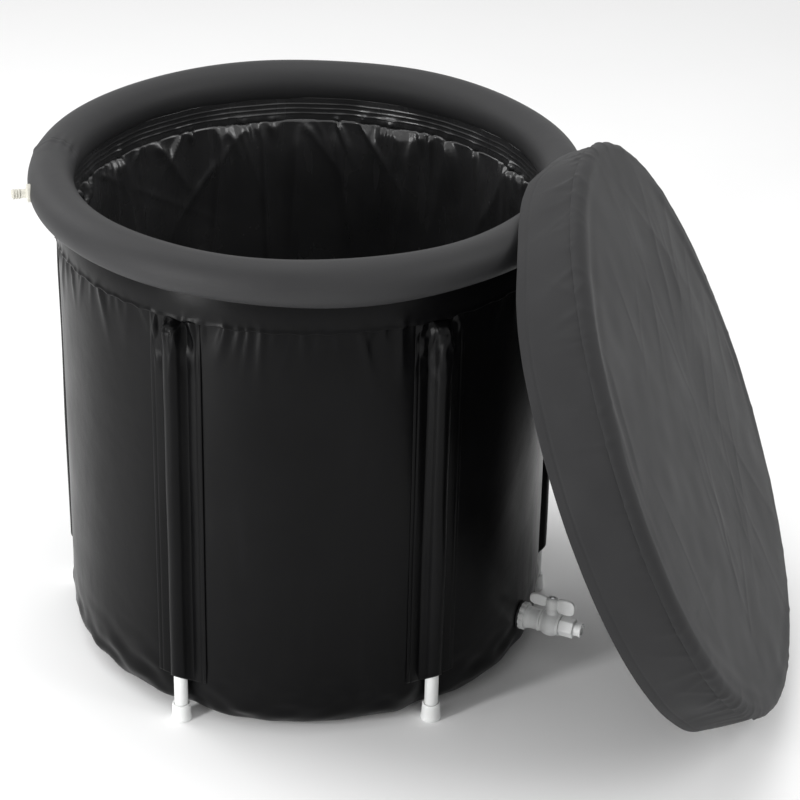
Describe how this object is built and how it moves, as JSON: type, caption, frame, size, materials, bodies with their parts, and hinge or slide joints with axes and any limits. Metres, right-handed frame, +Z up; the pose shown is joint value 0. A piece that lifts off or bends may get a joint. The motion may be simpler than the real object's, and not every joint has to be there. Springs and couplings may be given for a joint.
{
  "type": "cold plunge tub",
  "caption": "Portable round cold plunge tub with an inflated rim ring, support poles in sleeves, a quarter-turn drain valve and a padded cap cover leaning on it.",
  "frame": {"origin": "centre of the base panel's underside, on the floor", "axes": "+Z up; +X runs out along the drain valve; the poles stand every 60 degrees from -33.5 degrees"},
  "size_m": [1.1774, 0.8777, 0.8111],
  "materials": {
    "ring": "matte coated vinyl",
    "wall": "glossy coated vinyl",
    "liner": "glossy gathered vinyl",
    "foam": "foam sheet",
    "white": "moulded plastic",
    "pale": "soft moulded plastic",
    "rubber": "black rubber",
    "steel": "zinc plated",
    "cover": "matte coated fabric"
  },
  "bodies": {
    "tub": {"air_ring": "ring", "ring_collar": "wall", "rim_band": "liner", "outer_wall": "wall", "wall_insulation": "foam", "inner_liner": "liner", "base_panel": "wall", "base_insulation": "foam", "liner_floor": "liner", "air_valve_base": "pale", "drain_inner_flange": "white", "drain_gasket_inner": "rubber", "drain_gasket_outer": "rubber", "drain_lock_nut": "white", "drain_adaptor": "white", "valve_body": "white", "valve_seat_inlet": "pale", "valve_seat_outlet": "pale", "drain_outlet": "white", "pole_sleeve_1": "wall", "pole_1": "white", "pole_foot_1": "white", "pole_cap_1": "white", "pole_sleeve_2": "wall", "pole_2": "white", "pole_foot_2": "white", "pole_cap_2": "white", "pole_sleeve_3": "wall", "pole_3": "white", "pole_foot_3": "white", "pole_cap_3": "white", "pole_sleeve_4": "wall", "pole_4": "white", "pole_foot_4": "white", "pole_cap_4": "white", "pole_sleeve_5": "wall", "pole_5": "white", "pole_foot_5": "white", "pole_cap_5": "white", "pole_sleeve_6": "wall", "pole_6": "white", "pole_foot_6": "white", "pole_cap_6": "white"},
    "drain_handle": {"valve_handle": "white", "valve_stem": "white", "valve_ball": "white", "stem_o_ring": "rubber", "handle_screw": "steel"},
    "cover": {"cover_top_panel": "cover", "cover_side_band": "cover", "cover_pad": "foam", "cover_lining": "cover"},
    "air_plug": {"air_valve_plug": "pale"}
  },
  "joints": [
    {"name": "drain_turn", "type": "hinge", "parent": "tub", "child": "drain_handle", "pos_m": [0.4102, 0, 0.078], "axis": [0, 0, 1], "range_deg": [-90, 0]},
    {"name": "cover_lift", "type": "slide", "parent": "tub", "child": "cover", "axis": [0.8847, 0.2189, 0.4115], "range_m": [0, 0.5]},
    {"name": "plug_pull", "type": "slide", "parent": "tub", "child": "air_plug", "axis": [-0.788, -0.6157, 0], "range_m": [0, 0.014]}
  ]
}
